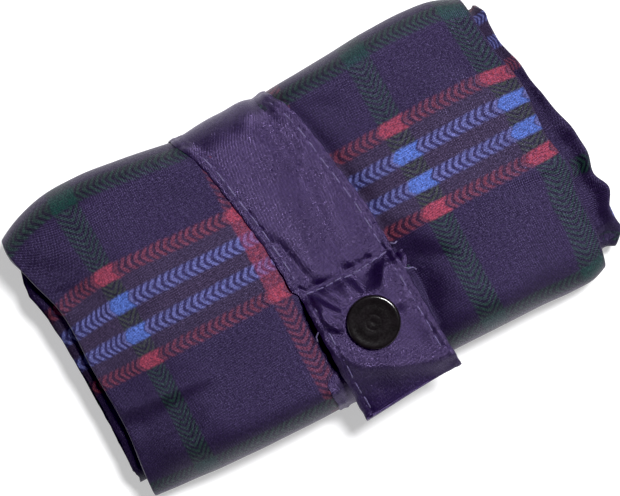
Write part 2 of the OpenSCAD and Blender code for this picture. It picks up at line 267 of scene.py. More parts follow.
def cloth_coordinates(g):
    """The cloth's own flat coordinates, in millimetres."""
    uv = g.node("ShaderNodeUVMap", uv_map="cloth").outputs[0]
    parts = g.node("ShaderNodeSeparateXYZ")
    g.put(uv, parts.inputs[0])
    return uv, g.math("MULTIPLY", parts.outputs[0], 1000.0), g.math("MULTIPLY", parts.outputs[1], 1000.0)


def plain_weave(g, u, v, pitch):
    """Height of a plain weave, 0 to 1: warp over weft in a chequer."""
    turn = 2 * math.pi / pitch
    warp = g.math("SINE", g.math("MULTIPLY", u, turn))
    weft = g.math("SINE", g.math("MULTIPLY", v, turn))
    return g.math("MULTIPLY_ADD", g.math("MULTIPLY", warp, weft), 0.5, 0.5)


def thread_glint(g, uv, weave):
    """Brightness of single threads, long ones each way; the weave says which of them lies on top. In the
    cloths' base colour it is painted thread glints, partly also the threads' own uneven tone.
    """
    def stretched(across, along):
        place = g.node("ShaderNodeMapping")
        g.put(uv, place.inputs["Vector"])
        place.inputs["Scale"].default_value = (across, along, 1.0)
        return g.noise(place.outputs[0], 1.0, 1.0)

    mixed = g.node("ShaderNodeMix", data_type="FLOAT")
    g.put(weave, mixed.inputs[0])
    g.put(stretched(1000.0, 3600.0), mixed.inputs[2])
    g.put(stretched(3600.0, 1000.0), mixed.inputs[3])
    return mixed.outputs[0]


BLACK = (0.0, 0.0, 0.0, 1.0)
# Half the repeat of the print's sett across and along the cloth, and where it starts along it
SETT_ACROSS, SETT_ALONG, SETT_START = 60.5, 53.7, 4.0
# The green stripes are single; the red and blue ones lie in pairs about the sett's middle
V_GREENS, V_RED = (-52.65, 37.2), 12.15


def tartan_cloth():
    """Thin printed polyester: a dark purple ground with green, red and blue stripes drawn as chevrons."""
    g = Graph("tartan_cloth")
    uv, u0, v0 = cloth_coordinates(g)
    wobble = g.noise(uv, 240.0)
    u = g.math("MULTIPLY_ADD", wobble, 0.7, u0)
    v = g.math("MULTIPLY_ADD", wobble, -0.7, v0)
    across = g.math("WRAP", u, SETT_ACROSS, -SETT_ACROSS)
    along = g.math("WRAP", g.math("SUBTRACT", v, SETT_START), SETT_ALONG, -SETT_ALONG)
    across_abs = g.math("ABSOLUTE", across)
    along_abs = g.math("ABSOLUTE", along)

    def off(value, centre):
        return g.math("ABSOLUTE", g.math("SUBTRACT", value, centre))

    def band(distance, half):
        return g.span(distance, half - 0.5, half + 0.5, 1.0, 0.0)

    def bent(travel, distance):
        """A coordinate along a stripe whose lines of equal value are rounded chevrons."""
        rounded = g.math("SQRT", g.math("MULTIPLY_ADD", distance, distance, 0.25))
        return g.math("MULTIPLY_ADD", rounded, -0.95, travel)

    def chevrons(travel, distance, pitch):
        wave = g.math("PINGPONG", g.math("DIVIDE", bent(travel, distance), pitch), 0.5)
        return g.span(wave, 0.12, 0.36)

    # Distances from each stripe's middle line
    v_blue, v_red = off(across_abs, 4.1), off(across_abs, V_RED)
    v_green = g.math("MINIMUM", *(off(across, at) for at in V_GREENS))
    h_blue, h_red = off(along_abs, 4.15), off(along_abs, 12.05)
    h_green = g.math("MINIMUM", off(along, -46.0), off(along, 33.4))

    in_v_blue, in_v_red, in_v_green = band(v_blue, 1.9), band(v_red, 2.6), band(v_green, 3.6)
    in_h_blue, in_h_red, in_h_green = band(h_blue, 2.0), band(h_red, 1.95), band(h_green, 2.5)

    ground = linear(36, 25, 55)
    middle = linear(49, 38, 57)
    dark = linear(10, 12, 16)
    green, green_solid = linear(30, 62, 44), linear(8, 62, 48)
    olive_dark, olive = linear(20, 23, 20), linear(54, 66, 42)
    red_dark, red, red_solid = linear(52, 20, 32), linear(122, 54, 64), linear(164, 62, 76)
    blue_dark, blue, blue_solid = linear(36, 36, 84), linear(102, 108, 172), linear(84, 118, 208)

    def paint(under, over, mask, share):
        return g.mix(g.math("MULTIPLY", mask, share), under, over)

    between = g.span(along_abs, 10.5, 14.5, 1.0, 0.0)
    colour = g.mix(between, ground, middle)
    hatch = chevrons(v, v_green, 1.7)
    upright = g.mix(between, g.mix(hatch, dark, green), g.mix(hatch, olive_dark, olive))
    colour = paint(colour, upright, in_v_green, 0.9)
    for travel, distance, pitch, lines, fill, mask, share in (
        (v, v_red, 2.2, red_dark, red, in_v_red, 0.7),
        (v, v_blue, 2.2, blue_dark, blue, in_v_blue, 0.7),
        (u, h_green, 1.9, dark, green, in_h_green, 0.9),
        (u, h_red, 2.2, red_dark, red, in_h_red, 0.85),
        (u, h_blue, 2.2, blue_dark, blue, in_h_blue, 0.95),
    ):
        colour = paint(colour, g.mix(chevrons(travel, distance, pitch), lines, fill), mask, share)

    def crossing(distance):
        """Where a green, and a green or red, upright stripe crosses, with ends bent like the chevrons."""
        place = g.math("WRAP", g.math("ADD", bent(u, distance), 1.3), SETT_ACROSS, -SETT_ACROSS)
        on_green = band(g.math("MINIMUM", *(off(place, at) for at in V_GREENS)), 3.5)
        on_red = band(off(g.math("ABSOLUTE", place), V_RED), 2.4)
        return on_green, g.math("MAXIMUM", on_green, on_red)

    colour = paint(colour, green_solid, in_h_green, in_v_green)
    colour = paint(colour, red_solid, in_h_red, crossing(h_red)[1])
    colour = paint(colour, blue_solid, in_h_blue, crossing(h_blue)[0])
    colour = paint(colour, red_solid, g.math("MULTIPLY", between, in_v_red), 0.4)

    weave = plain_weave(g, u0, v0, 0.56)
    glint = thread_glint(g, uv, weave)
    patchy = g.noise(uv, 38.0, 4.0, 0.6)
    # Painted thread glints: the colour goes towards black between the bright threads (partly their own uneven
    # tone), and darker in random patches of tone.
    shade = g.math("MULTIPLY", g.span(glint, 0.36, 0.66, 0.25, 1.0), g.span(patchy, 0.3, 0.7, 0.75, 1.0))
    colour = g.mix(g.math("SUBTRACT", 1.0, shade, clamp=True), colour, BLACK)
    lint = g.span(g.noise(uv, 1500.0, 1.0), 0.82, 0.86)
    colour = paint(colour, linear(150, 146, 160), lint, 0.4)

    crinkle = g.noise(uv, 170.0, 3.0, 0.6)
    normal = g.bump(crinkle, 0.3, 0.0006)
    normal = g.bump(glint, 0.55, 0.00022, normal)
    normal = g.bump(weave, 0.8, 0.00012, normal)
    rough = g.math("ADD", g.span(patchy, 0.25, 0.75, 0.38, 0.46), g.span(glint, 0.35, 0.7, 0.1, -0.06))
    g.set(
        Base_Color=colour, Roughness=rough, Normal=normal,
        Specular_IOR_Level=0.6, Specular_Tint=linear(188, 172, 238),
        Sheen_Weight=0.03, Sheen_Roughness=0.5, Sheen_Tint=linear(190, 184, 205),
    )
    return g.material


def strap_satin(name, tint):
    """Plain satin ribbon: close weft, soft lengthwise gloss."""
    g = Graph(name)
    uv, u, v = cloth_coordinates(g)
    weave = plain_weave(g, u, v, 0.5)
    glint = thread_glint(g, uv, weave)
    patchy = g.noise(uv, 70.0, 3.0)
    # Painted thread glints: the colour goes towards black between the bright threads (partly their own uneven
    # tone), and darker in random patches of tone.
    shade = g.math("MULTIPLY", g.span(glint, 0.4, 0.62, 0.2, 1.0), g.span(patchy, 0.3, 0.7, 0.7, 1.0))
    colour = g.mix(g.math("SUBTRACT", 1.0, shade, clamp=True), tint, BLACK)
    crinkle = g.noise(uv, 210.0, 3.0, 0.6)
    normal = g.bump(crinkle, 0.2, 0.0005)
    normal = g.bump(glint, 0.45, 0.00022, normal)
    normal = g.bump(weave, 0.8, 0.00012, normal)
    rough = g.math("ADD", g.span(patchy, 0.3, 0.7, 0.28, 0.34), g.span(glint, 0.38, 0.64, 0.12, -0.04))
    g.set(
        Base_Color=colour, Roughness=rough, Normal=normal,
        Specular_IOR_Level=1.0, Specular_Tint=linear(204, 179, 252),
        Sheen_Weight=0.03, Sheen_Roughness=0.35, Sheen_Tint=linear(170, 158, 205),
    )
    return g.material


def sewing_thread():
    """Twisted polyester thread."""
    g = Graph("sewing_thread")
    place = g.node("ShaderNodeTexCoord").outputs["Object"]
    fibre = g.noise(place, 4000.0, 2.0)
    colour = g.mix(g.span(fibre, 0.3, 0.7), linear(40, 33, 62), linear(104, 91, 142))
    g.set(
        Base_Color=colour, Roughness=g.span(fibre, 0.2, 0.8, 0.45, 0.65),
        Normal=g.bump(fibre, 0.4, 0.0001), Sheen_Weight=0.3,
    )
    return g.material


def stud_metal(name, tint, metallic, rough_lo, rough_hi, wear):
    """Pressed metal with fine scuffs."""
    g = Graph(name)
    place = g.node("ShaderNodeTexCoord").outputs["Object"]
    grain = g.noise(place, 2600.0, 4.0, 0.65)
    patches = g.noise(place, 420.0, 3.0)
    colour = g.mix(g.span(patches, 0.35, 0.75), tint, wear)
    g.set(
        Base_Color=colour, Roughness=g.span(grain, 0.3, 0.7, rough_lo, rough_hi),
        Normal=g.bump(grain, 0.06, 0.00006), Metallic=metallic,
    )
    return g.material


TARTAN = tartan_cloth()
SATIN = strap_satin("strap_satin", linear(32, 20, 56))
HANDLE_CLOTH = strap_satin("handle_cloth", linear(24, 16, 42))
THREAD = sewing_thread()
GUNMETAL = stud_metal("gunmetal", linear(14, 11, 13), 0.0, 0.11, 0.19, linear(20, 16, 19))
NICKEL = stud_metal("dark_nickel", linear(120, 120, 124), 1.0, 0.26, 0.4, linear(96, 96, 100))
SPRING = stud_metal("spring_wire", linear(190, 190, 192), 1.0, 0.2, 0.3, linear(170, 170, 174))


def finish_piece(obj, material):
    """Gives a piece its material."""
    obj.data.materials.clear()
    obj.data.materials.append(material)
    return obj


# ---------------------------------------------------------------- the roll's spiral

# Rows along each flat stretch and each bend of the spiral, from the free edge inwards
FLAT_STEPS = (44, 64, 34, 16, 16, 14)
BEND_STEPS = (22, 20, 14, 12, 10)


def spiral_rows():
    """Rows along the spiral, from the free edge on the back to the core.
    Each is the point that its ply turns about, the way out, and the radius of the outermost ply."""
    rows = []

    def straight(y0, y1, z, way, r, steps):
        for t in np.linspace(0, 1, steps, endpoint=False):
            rows.append((y0 + (y1 - y0) * t, z, 0.0, way, r))

    def bend(y, z, r, a0, a1, steps):
        for t in np.linspace(0, 1, steps, endpoint=False):
            a = math.radians(a0 + (a1 - a0) * t)
            rows.append((y, z, math.cos(a), math.sin(a), r))

    y, z, r = FREE_EDGE_Y, MID_Z, EDGE_R
    for k, bend_steps in enumerate(BEND_STEPS):
        low = k % 2 == 0
        end = -CENTRE_Y if low else CENTRE_Y
        straight(y, end, z, -1.0 if low else 1.0, r, FLAT_STEPS[k])
        if not low:
            z, r = MID_Z + TURN / 2, r - TURN / 2
        elif k:
            z, r = MID_Z, r - TURN / 2
        bend(end, z, r, *((270, 90) if low else (90, -90)), bend_steps)
        y = end
    straight(y, CORE_EDGE_Y, z, 1.0, r, FLAT_STEPS[-1])
    return np.array(rows)


ROWS = spiral_rows()
FRONT_ROW = FLAT_STEPS[0] + BEND_STEPS[0] + FLAT_STEPS[1] // 2
FIRST_TURN = sum(FLAT_STEPS[:2]) + sum(BEND_STEPS[:2])


def row_lengths(depth):
    """Distance along the cloth at each row, with zero in the middle of the front."""
    y = ROWS[:, 0] + ROWS[:, 2] * (ROWS[:, 4] - depth)
    z = ROWS[:, 1] + ROWS[:, 3] * (ROWS[:, 4] - depth)
    s = np.concatenate([[0], np.cumsum(np.hypot(np.diff(y), np.diff(z)))])
    return s - s[FRONT_ROW]


# Outermost weight of each row: the first turn, until it is covered by the free edge on the back
OUTER = 1 - smooth(FIRST_TURN + 2, FIRST_TURN + 12, np.arange(len(ROWS)))

# The roll's outline seen from the front: long edges along X, ends along Y. The ends have one line
# for the outer wrap, one for the layer inside it, and one for the middle third where it stands out.
TOP_EDGE = [(-74, 39.2), (-69, 42.3), (-60, 45.8), (-47, 46.6), (-34, 45.1), (-19, 43), (8, 42.9), (29, 43.5),
            (42, 44.6), (56, 44.5), (64, 43.6), (73, 40.2)]
BOTTOM_EDGE = [(-74, -41.6), (-62, -42.4), (-45, -43.4), (-14, -44.4), (24, -44.8), (50, -45.2), (62, -45.8),
               (68, -45.6), (73, -43.6)]
LEFT_END = [(-45, -70), (-38, -69), (-21, -67.2), (-4, -67.6), (17, -68.2), (27, -71.2), (37, -73.6),
            (47, -73.6)]
RIGHT_END = [(-46, 71.5), (-40, 72.4), (-33, 73.5), (-21, 73.9), (-13, 75.3), (-9, 74.1), (13, 73.8),
             (23, 71.8), (40, 70.4), (46, 70)]
RUFFLE_END = [(-44, 74.5), (-37, 80), (-30, 80), (-25, 82), (-20, 80.2), (-13, 81.1), (-7, 80.5), (-2, 79.6),
              (6, 78), (18, 75.9), (31, 74), (34, 75), (38, 72.6), (44, 70)]
INNER_END = [(-44, -71.5), (-21, -70.9), (-4, -71), (17, -72.2), (26, -73.6), (32, -72), (46, -71)]
IDEAL_TOP = CENTRE_Y + EDGE_R - TURN / 2
IDEAL_BOTTOM = CENTRE_Y + EDGE_R

# The middle line of the strap on the front, and of strap and tail on the back
STRAP_LINE = [(-50, 7.2), (-22, 7.2), (-10, 6.1), (2, 5.5), (16, 3.2), (24, 1.9), (35, -1), (43, -5),
              (50, -6)]
BACK_LINE = [(-50, 2.6), (-33, 2.6), (-5, -1.6), (23, -6), (50, -5)]


def beside_strap(x, y, share):
    """Distance past the strap's edge; share is 0 on the back of the roll and 1 on the front."""
    middle = curve_through(BACK_LINE, y) * (1 - share) + curve_through(STRAP_LINE, y) * share
    return np.maximum(np.abs(x - middle) - STRAP_W / 2 - 0.6, 0)


# Creases on the front of the roll: two ends, half width and height
CREASES = [
    ((-68, -16.5), (-36, -19.5), 2.0, 0.75),
    ((-66, -23), (-46, -22), 2.4, -0.5),
    ((-30, 3), (-12, -4), 3.2, -0.5),
    ((-34, -31), (-12, -24), 3.6, -0.6),
    ((-58, -38), (-40, -27), 3.0, 0.6),
    ((24, -13), (36, -24), 3.0, -1.1),
    ((25, -27), (44, -34), 3.0, 0.6),
    ((25, -5), (44, -9), 2.6, 0.6),
    ((44, -14), (60, -24), 3.4, -0.5),
    ((56, -10), (74, -13), 1.8, 0.8),
    ((58, 28), (72, 14), 3.0, -0.6),
    ((-30, 31), (-17, 22), 2.8, -0.6),
    ((16, 37), (28, 27), 2.8, -0.7),
    ((-24, 42), (-20, 26), 2.4, 0.45),
    ((-70, 33), (-54, 29), 3.0, 0.6),
    ((-72, 22), (-58, 17), 2.4, -0.5),
]


def creases(lines, x, y):
    """Height of the listed creases."""
    total = np.zeros_like(x)
    for (x0, y0), (x1, y1), width, height in lines:
        length = math.hypot(x1 - x0, y1 - y0)
        ux, uy = (x1 - x0) / length, (y1 - y0) / length
        along = (x - x0) * ux + (y - y0) * uy
        off = (x - x0) * -uy + (y - y0) * ux
        fade = smooth(-width, width * 2, along) * (1 - smooth(length - width * 2, length + width, along))
        total += height * fade * np.exp(-((off / width) ** 2))
    return total


def hollow(x, y, at, radii, depth):
    """An oval dip."""
    return -depth * np.exp(-(((x - at[0]) / radii[0]) ** 2) - ((y - at[1]) / radii[1]) ** 2)


def relief(x, y, beside):
    """Soft unevenness of the front: creases, and folds that run out from the strap."""
    pulls = ripple(beside, y, 26, 5.5, 8.8) * 0.4 * np.exp(-beside / 11)
    broad = ripple(x, y, 36, 24, 3.1) * 0.75 + ripple(x + y * 0.4, y, 14, 9, 7.7) * 0.22
    return pulls + broad + creases(CREASES, x, y)


def shape_roll(x, y, z, third):
    """Takes the ideal roll to the real one: its outline, its pinched waist and its soft ends.
    third is 0 on the outer third of the cloth, 1 on the middle one and 2 on the inner one."""
    x, y, z, third = np.broadcast_arrays(x, y, z, third)
    top = curve_through(TOP_EDGE, x) / IDEAL_TOP
    bottom = -curve_through(BOTTOM_EDGE, x) / IDEAL_BOTTOM
    new_y = np.where(y > 0, y * top, y * bottom)
    # The ends
    left = 1 - smooth(WRAP_LO, -45, x)
    left_shift = np.where(third > 1.5, curve_through(INNER_END, new_y) - INNER_LO,
                          curve_through(LEFT_END, new_y) - WRAP_LO)
    right = smooth(45, WRAP_HI, x)
    right_shift = curve_through(RIGHT_END, new_y) - WRAP_HI
    past = np.clip((x - WRAP_HI) / (RUFFLE_HI - WRAP_HI), 0, 1)
    ruffle_shift = curve_through(RUFFLE_END, new_y) - RUFFLE_HI
    right_shift = right_shift * (1 - past) + ruffle_shift * past
    new_x = x + left * left_shift + right * right_shift
    # Thickness: tight under the strap, swelling beside it, thin at the ends and lowest at two corners
    base = back_lo[2]
    thick = 2 * EDGE_R
    level = (z - base) / thick
    beside = beside_strap(new_x, new_y, np.clip(level, 0, 1))
    swell = 1 - np.exp(-beside / 7)
    far = smooth(40, 74, np.abs(new_x))
    corner = smooth(40, 76, -new_x) * smooth(0, 42, -new_y)
    corner = corner + 0.6 * smooth(48, 76, new_x) * smooth(5, 44, -new_y)
    rise = swell * (3.2 - 5.2 * far - 3.2 * corner)
    floor = base - swell * (0.7 - 0.9 * far)
    new_z = floor + level * (thick + rise + (base - floor))
    quiet = (0.12 + 0.88 * swell) * smooth(7, 13, np.hypot(new_x - SNAP[0], new_y - SNAP[1]))
    frill = ripple(new_y, new_x, 5.5, 30, 6.4) * 0.9 * past * smooth(0.3, 0.7, level)
    by_tab = hollow(new_x, new_y, (24, -21), (6, 10), 2.6) + hollow(new_x, new_y, (-12, -29), (4, 12), 0.8)
    new_z = new_z + (relief(new_x, new_y, beside) * quiet + by_tab) * smooth(0.35, 1.0, level) + frill
    return new_x, new_y, new_z


def squeeze(x, y, z, weight, uneven):
    """Packs the inner plies tighter round the core near both ends, which opens a hollow behind the wrap.
    At the +X end it is deepest towards the lower edge of the front."""
    deepest = (1 - smooth(-24, 0, y)) * smooth(MID_Z - 4, MID_Z + 4, z)
    right = smooth(48, WRAP_HI - 1, x) * (1 - 0.4 * smooth(74, 79, x))
    left = 1 - smooth(INNER_LO + 1, -56, x)
    c = ((0.26 + 0.4 * deepest + 0.1 * uneven) * right + 0.45 * left) * weight
    new_z = MID_Z + (z - MID_Z) * (1 - c)
    over = np.abs(y) - CENTRE_Y
    new_y = np.where(over > 0, np.sign(y) * (CENTRE_Y + over * (1 - c)), y)
    return new_y, new_z


def lip(x, d0, d1, out, steps=8):
    """The half circle of a fold from depth d0 to d1, bulging towards out."""
    r = (d1 - d0) / 2
    return [
        (x + out * abs(r) * math.sin(math.pi * t), (d0 + d1) / 2 - r * math.cos(math.pi * t))
        for t in np.linspace(0, 1, steps + 1)[1:-1]
    ]


def run(x0, x1, depth, fine, coarse=None):
    """Points across the cloth at one depth; coarse spacing in the middle where the ply is never seen."""
    if coarse is None:
        n = max(2, round(abs(x1 - x0) / fine) + 1)
        return [(x, depth) for x in np.linspace(x0, x1, n)]
    side = 14.0 * np.sign(x1 - x0)
    return (
        run(x0, x0 + side, depth, fine)
        + run(x0 + side, x1 - side, depth, coarse)[1:-1]
        + run(x1 - side, x1, depth, fine)
    )


def outer_wrinkles(x, s, y, share):
    """How far the outermost ply stands out of its ideal place; it lies close under the strap."""
    free = 1 - np.exp(-beside_strap(x, y, share) / 4)
    return 0.03 + free * (0.24 + ripple(x, s, 30, 22, 3.1) * 0.18 + ripple(x + s * 0.3, s, 11, 7, 7.7) * 0.1)


def on_table(z):
    """Flattens what would reach below the table; heights stay in order."""
    low, soft = 0.12, 0.12
    return low + soft * np.logaddexp(0, (z - low) / soft)


def roll_sheet(name, parts, u_at, v_shift, length_depth):
    """A cloth that follows the spiral along its rows and the fold profile across its columns. Its parts are
    (points, third, loose), and loose is 1 for columns that swell with the wrap. u_at gives the flat
    cloth's place at some columns."""
    x, depth = (np.array([c[i] for points, _, _ in parts for c in points])[None, :] for i in (0, 1))
    thirds, loose = (
        np.concatenate([np.broadcast_to(part[i], len(part[0])).astype(float) for part in parts])[None, :]
        for i in (1, 2)
    )
    across = np.concatenate([[0], np.cumsum(np.hypot(np.diff(x[0]), np.diff(depth[0])))])
    known = sorted(u_at, key=lambda k: k % x.size)
    u = np.interp(across, across[known], [u_at[k] for k in known])[None, :] + np.zeros((len(ROWS), 1))
    s = row_lengths(length_depth)
    v = (s + v_shift)[:, None] + np.zeros_like(x)
    cy, cz, ny, nz, r = (ROWS[:, i][:, None] for i in range(5))
    outer = OUTER[:, None] * loose
    share = np.clip((cz + nz * r - MID_Z + EDGE_R) / (2 * EDGE_R), 0, 1)
    wave = outer_wrinkles(x + 0 * cy, s[:, None] + 0 * x, cy + ny * r + 0 * x, share + 0 * x)
    # The ruffle and the inner edges wander along their length
    end = smooth(60, RUFFLE_HI, x) + (1 - smooth(INNER_LO, -60, x))
    wander = ripple(s[:, None] + x * 0.5, x, 12, 9, 11.3) * 0.75 * end * (1 - loose)
    depth = depth - wave * outer + wander
    y = cy + ny * (r - depth)
    z = cz + nz * (r - depth)
    uneven = ripple(s[:, None] + 0 * x, x * 0, 16, 1, 5.9)
    y, z = squeeze(x + 0 * y, y, z, 1 - outer, uneven)
    shift = ripple(s[:, None] + 0 * x, x * 0, 9, 1, 2.3) * 0.7 * end * (1 - outer)
    px, py, pz = shape_roll(x + shift, y, z, thirds)
    points = np.stack([px, py, on_table(pz)], axis=-1)
    obj = grid(name, points, u, v)
    thick = obj.modifiers.new("cloth", "SOLIDIFY")
    thick.thickness = CLOTH_T * MM
    thick.offset = 0.0
    return obj


# A place on the cloth between two upright stripes, which the folds at the roll's ends show
GROUND_U = 24.5
# Seam allowance at a panel's side
SEAM_W = 6.0


def back_panel():
    """The outer wrap, its fold at the -X end, and its middle and inner thirds inside the roll."""
    r = 2.5 * PLY
    hem = 2.6 * PLY
    turn_x = RUFFLE_HI - 0.9
    seam = [(WRAP_HI - 5, hem), (WRAP_HI - 2.5, hem)] + run(WRAP_HI - 1.2, WRAP_HI - 0.4, hem, 0.4)
    outer = seam + lip(WRAP_HI - 0.4, hem, 0, 1) + run(WRAP_HI - 0.4, WRAP_LO + r, 0, 1.0)
    fold = lip(WRAP_LO + r, 0, 5 * PLY, -1)
    middle = run(WRAP_LO + r, turn_x, 5 * PLY, 2.0, 9.0)
    small = lip(turn_x, 5 * PLY, 6 * PLY, 1, 6)
    inner = run(turn_x, INNER_LO, 6 * PLY, 2.0, 9.0)
    turned = len(outer) + len(fold)
    far_end = turned + len(middle)
    u_at = {
        0: WRAP_HI + SEAM_W, len(seam) + 6: WRAP_HI, len(outer) - 1: WRAP_LO, turned: WRAP_LO - 2.4,
        turned + 8: WRAP_LO - 18, far_end - 8: GROUND_U - 242 + 14, far_end: GROUND_U - 242,
        -8: GROUND_U - 403.5, -1: GROUND_U - 417.5,
    }
    parts = ((outer, 0, 1), (fold, 0, np.linspace(1, 0, len(fold))), (middle + small, 1, 0), (inner, 2, 0))
    return roll_sheet("back_panel_cloth", parts, u_at, 0.0, 0.0)


def front_panel():
    """The other panel: it shows as the ruffle that stands out at the +X end."""
    r = 2.5 * PLY
    start = run(WRAP_HI - 0.5, WRAP_LO + 1.0, 3 * PLY, 2.0, 9.0) + lip(WRAP_LO + 1.0, 3 * PLY, 4 * PLY, -1, 6)
    middle = run(WRAP_LO + 1.0, RUFFLE_HI - r, 4 * PLY, 0.8, 9.0)
    fold = lip(RUFFLE_HI - r, 4 * PLY, 9 * PLY, 1, 10)
    inner = run(RUFFLE_HI - r, INNER_LO, 9 * PLY, 1.5, 9.0)
    turned = len(start) + len(middle)
    u_at = {
        0: GROUND_U + 296, turned - 1: GROUND_U, turned + len(fold): GROUND_U - 2.4,
        -8: GROUND_U - 161.5, -1: GROUND_U - 175.5,
    }
    parts = ((start, 0, 0), (middle + fold, 1, 0), (inner, 2, 0))
    return roll_sheet("front_panel_cloth", parts, u_at, -26.0, 4 * PLY)


def gusset(name, edge_x, inward, slot, third, loose_first):
    """A side gusset, folded in between the panels; its mouth opens towards the end of the roll."""
    a, b = slot * PLY, (slot + 1) * PLY
    fold_x = edge_x + inward * GUSSET_D
    first = run(edge_x, fold_x, a, 2.0)
    last = lip(fold_x, a, b, inward, 4) + run(fold_x, edge_x, b, 2.0)
    near = loose_first * (1 - smooth(0, 20, [abs(x - edge_x) for x, _ in first]))
    u_at = {0: GROUND_U, -1: GROUND_U - 2 * GUSSET_D - 6.5}
    return roll_sheet(name, ((first, third, near), (last, third, 0)), u_at, -10.0, a)


PANEL_W = (WRAP_HI - WRAP_LO) + (RUFFLE_HI - WRAP_LO) + (RUFFLE_HI - INNER_LO) + SEAM_W

for build, node, width in (
    (back_panel, "back_panel", PANEL_W),
    (front_panel, "front_panel", PANEL_W),
    (lambda: gusset("gusset_right_cloth", WRAP_HI - 0.6, -1, 1, 0, True), "gusset_right", 2 * GUSSET_D),
    (lambda: gusset("gusset_left_cloth", INNER_LO, 1, 7, 2, False), "gusset_left", 2 * GUSSET_D),
):
    cloth = finish_piece(build(), TARTAN)
    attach(cloth, "bundle")
    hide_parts(node)


# ---------------------------------------------------------------- handles in the core

HANDLE_W = 24.0


def handle(node):
    """A carrying handle, a flat U of doubled cloth with soft edges, and the length of its band."""
    lo, hi = cad(node)
    corner_r = 12.0
    left, right, bottom = lo[0] + HANDLE_W / 2, hi[0] - HANDLE_W / 2, lo[1] + HANDLE_W / 2
    corner_y = bottom + corner_r
    line = [(left, y) for y in np.linspace(hi[1], corner_y, 12, endpoint=False)]
    line += arc(left + corner_r, corner_y, corner_r, 180, 270, 11)[:-1]
    line += [(x, bottom) for x in np.linspace(left + corner_r, right - corner_r, 20, endpoint=False)]
    line += arc(right - corner_r, corner_y, corner_r, 270, 360, 11)[:-1]
    line += [(right, y) for y in np.linspace(corner_y, hi[1], 12)]
    line = np.array(line)
    side, length = normals(line), lengths(line)
    share = np.linspace(-1, 1, 15)
    rise = (hi[2] - lo[2]) / 2 * np.sqrt(np.clip(1 - np.abs(share) ** 8, 0, 1))
    across, height = band_ring(share * HANDLE_W / 2, rise)
    x, y = (line[:, i, None] + side[:, i, None] * across * 0.98 for i in (0, 1))
    z = (lo[2] + hi[2]) / 2 + height + 0 * x
    u = np.append(across, across[0]) + np.zeros((len(line), 1))
    v = length[:, None] + 0 * u
    return grid(node + "_cloth", np.stack([x, y, z], -1), u, v, closed=True, capped=True), float(length[-1])


for node in ("handle_front", "handle_back"):
    obj, length = handle(node)
    finish_piece(obj, HANDLE_CLOTH)
    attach(obj, "bundle")
    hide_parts(node)


# ---------------------------------------------------------------- ribbons: strap, tab and tail

def rounded_line(points, spacing, passes=3):
    """Evenly spaced points along a line in the YZ plane, with its corners cut round."""
    p = np.array(points, float)
    for _ in range(passes):
        q = np.empty((2 * (len(p) - 1), 2))
        q[0::2] = p[:-1] * 0.75 + p[1:] * 0.25
        q[1::2] = p[:-1] * 0.25 + p[1:] * 0.75
        p = np.vstack([p[:1], q, p[-1:]])
    length = lengths(p)
    n = max(2, int(round(length[-1] / spacing)) + 1)
    at = np.linspace(0, length[-1], n)
    return np.stack([np.interp(at, length, p[:, 0]), np.interp(at, length, p[:, 1])], 1), at


class Ribbon:
    """A flat band swept along a line in the YZ plane. edges(s, y) gives the X of its two edges,
    face(s, t, y) how far its cloth stands out, and place(x, y, z, s) moves the finished points."""

    def __init__(self, line, spacing, edges, face, place):
        self.line, self.at = rounded_line(line, spacing)
        self.out = normals(self.line)
        self.edges, self.face, self.place = edges, face, place

    def surface(self, s, t, lift):
        """Points at distance s, t from the middle (on the flat band), lifted out of its surface."""
        s, t, lift = np.broadcast_arrays(np.asarray(s, float), t, lift)
        y, z = (np.interp(s, self.at, self.line[:, i]) for i in (0, 1))
        oy, oz = (np.interp(s, self.at, self.out[:, i]) for i in (0, 1))
        lo, hi = self.edges(s, y)
        x = lo + (hi - lo) * (t / STRAP_W + 0.5)
        up = lift + self.face(s, t, y)
        return np.stack(self.place(x, y + oy * up, z + oz * up, s), -1)

    def mesh(self, name, first, last, thick, columns=72):
        """The band between two distances, as a closed flattened tube with round edges."""
        rows = self.at[(self.at >= first - 1e-6) & (self.at <= last + 1e-6)]
        half = STRAP_W / 2
        t = half * np.sin(np.linspace(-1, 1, columns) * 1.5) / math.sin(1.5)
        edge = np.sqrt(np.clip(1 - (np.abs(t) / half) ** 16, 0, 1))
        ring_t, ring_h = band_ring(t, edge * thick / 2)
        points = self.surface(rows[:, None], ring_t[None, :], ring_h[None, :])
        u = np.concatenate([ring_t, ring_t[:1]])[None, :] + 0 * rows[:, None]
        v = rows[:, None] + 0 * u
        obj = grid(name, points, u, v, closed=True, capped=True)
        ends = set(range(len(ring_t))) | set(range((len(rows) - 1) * len(ring_t), len(rows) * len(ring_t)))
        for e in obj.data.edges:
            if e.vertices[0] in ends and e.vertices[1] in ends:
                e.use_edge_sharp = True
        return obj


def stitch_relief(s, t, seed):
    """A hem sewn down both sides: a groove along each row, a soft roll outside it, a tuck at each hole."""
    half = STRAP_W / 2
    inward = half - np.abs(t)
    hole = 0.5 + 0.5 * np.cos(2 * math.pi * s / STITCH_PITCH)
    groove = -(0.1 + 0.1 * hole) * np.exp(-(((inward - STITCH_INSET) / 0.6) ** 2))
    roll = 0.12 * np.exp(-(((inward - 1.0) / 0.7) ** 2))
    tuck = -0.16 * hole**3 * (1 - smooth(2.2, 3.4, inward))
    uneven = ripple(s, np.sign(t) * 3 + 0 * s, 3.1, 1.0, seed) * 0.14 * (1 - smooth(3, 6, inward))
    return groove + roll + tuck + uneven


def scallop(s, side, seed):
    """The edge draws in a little at each stitch."""
    hole = 0.5 + 0.5 * np.cos(2 * math.pi * s / STITCH_PITCH)
    return -side * 0.17 * hole**2 + ripple(s, 0 * s, 8, 1, seed) * 0.18


